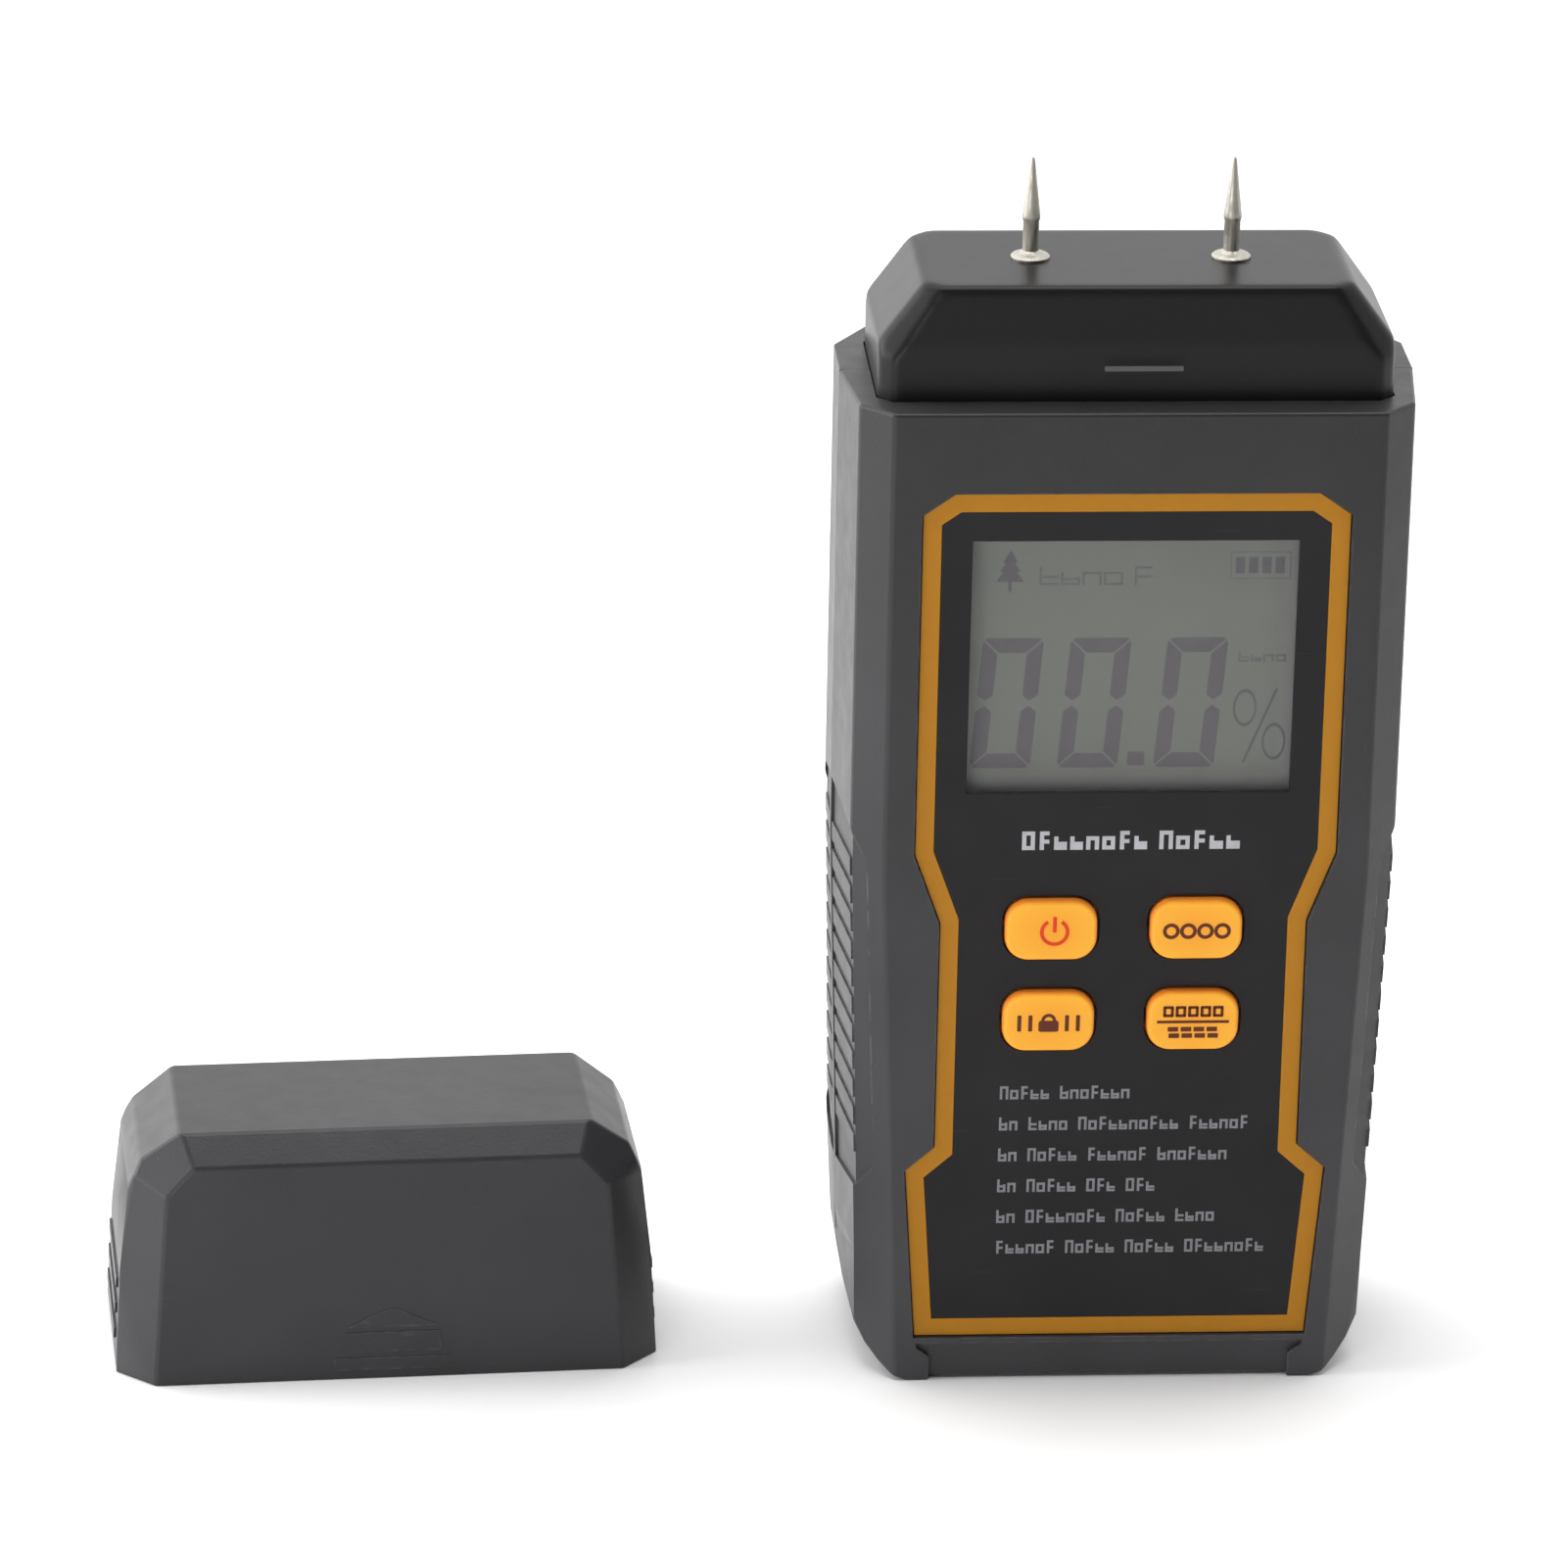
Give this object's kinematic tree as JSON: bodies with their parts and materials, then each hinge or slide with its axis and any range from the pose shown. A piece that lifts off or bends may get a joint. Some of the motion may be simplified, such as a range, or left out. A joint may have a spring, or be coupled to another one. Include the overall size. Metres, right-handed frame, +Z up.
{
  "type": "moisture meter",
  "caption": "Handheld two-pin moisture meter with display, rubber keys, ribbed grips, hinged battery door, internal board and cells, and a loose protective pin cap.",
  "frame": {"origin": "middle of the meter's base, on the surface it stands on", "axes": "+X to the right seen from the display side, +Y from the display to the back, +Z up towards the pins"},
  "size_m": [0.142, 0.0347, 0.1363],
  "materials": {
    "case_plastic": "fine even moulded texture, dark slate grey",
    "grip_plastic": "ribbed, same dark grey, slightly softer",
    "head_plastic": "smooth satin black with light wear",
    "border_ink": "printed amber, satin",
    "panel_film": "printed black film, satin",
    "window_film": "clear window of the printed film",
    "lcd": "grey-green reflective display",
    "reflector_foil": "pale reflective sheet",
    "light_plastic": "off-white moulding",
    "elastomer_strip": "layered conductive strip",
    "silicone": "orange silicone, soft sheen",
    "carbon": "conductive carbon pill",
    "board_laminate": "green solder mask",
    "gold_plate": "thin gold plating on copper",
    "chip_epoxy": "black moulded package",
    "component_sleeve": "shrunk sleeve",
    "trimmer_plastic": "blue moulding",
    "bare_steel": "plated steel",
    "dark_steel": "blackened steel",
    "socket_brass": "turned brass",
    "nickel": "bright nickel plate with fine wear",
    "red_insulation": "wire insulation",
    "black_insulation": "wire insulation",
    "cell_jacket": "printed steel jacket",
    "foam": "closed-cell foam"
  },
  "bodies": {
    "meter": {"front_case": "case_plastic", "rear_case": "case_plastic", "probe_head": "head_plastic", "left_grip_front": "grip_plastic", "left_grip_rear": "grip_plastic", "right_grip_front": "grip_plastic", "right_grip_rear": "grip_plastic", "overlay_border": "border_ink", "front_overlay": "panel_film", "display_window": "window_film", "lcd_glass": "lcd", "lcd_reflector": "reflector_foil", "lcd_frame": "light_plastic", "zebra_strips": "elastomer_strip", "keypad_sheet": "silicone", "circuit_board": "board_laminate", "key_pads": "gold_plate", "controller_chip": "chip_epoxy", "amplifier_chip": "chip_epoxy", "crystal_can": "bare_steel", "filter_capacitors": "component_sleeve", "trim_resistor": "trimmer_plastic", "probe_connector": "light_plastic", "battery_connector": "light_plastic", "board_screws": "bare_steel", "case_screws": "dark_steel", "pin_socket_left": "socket_brass", "pin_socket_right": "socket_brass", "electrode_pin_left": "nickel", "electrode_pin_right": "nickel", "probe_lead_left": "black_insulation", "probe_lead_right": "red_insulation", "battery_lead_positive": "red_insulation", "battery_lead_negative": "black_insulation", "battery_1": "cell_jacket", "battery_2": "cell_jacket", "battery_3": "cell_jacket", "battery_terminals": "bare_steel", "battery_springs": "bare_steel", "contact_plates": "bare_steel"},
    "power_key": {"key_power": "silicone", "key_power_pill": "carbon"},
    "wood_key": {"key_wood": "silicone", "key_wood_pill": "carbon"},
    "hold_key": {"key_hold": "silicone", "key_hold_pill": "carbon"},
    "wall_key": {"key_wall": "silicone", "key_wall_pill": "carbon"},
    "door": {"battery_door": "case_plastic", "door_pad": "foam"},
    "cap": {"pin_cap": "case_plastic"}
  },
  "joints": [
    {"name": "power_key_press", "type": "slide", "parent": "meter", "child": "power_key", "axis": [0, 1, 0], "range_m": [0, 0.0008], "stiffness_N_per_m": 1500, "springref_m": -0.0002},
    {"name": "wood_key_press", "type": "slide", "parent": "meter", "child": "wood_key", "axis": [0, 1, 0], "range_m": [0, 0.0008], "stiffness_N_per_m": 1500, "springref_m": -0.0002},
    {"name": "hold_key_press", "type": "slide", "parent": "meter", "child": "hold_key", "axis": [0, 1, 0], "range_m": [0, 0.0008], "stiffness_N_per_m": 1500, "springref_m": -0.0002},
    {"name": "wall_key_press", "type": "slide", "parent": "meter", "child": "wall_key", "axis": [0, 1, 0], "range_m": [0, 0.0008], "stiffness_N_per_m": 1500, "springref_m": -0.0002},
    {"name": "battery_door_hinge", "type": "hinge", "parent": "meter", "child": "door", "pos_m": [0, 0.0155, 0.0083], "axis": [-1, 0, 0], "range_deg": [0, 75]},
    {"name": "cap_lift", "type": "slide", "parent": "meter", "child": "cap", "axis": [0, 0, 1], "range_m": [0, 0.06]}
  ]
}
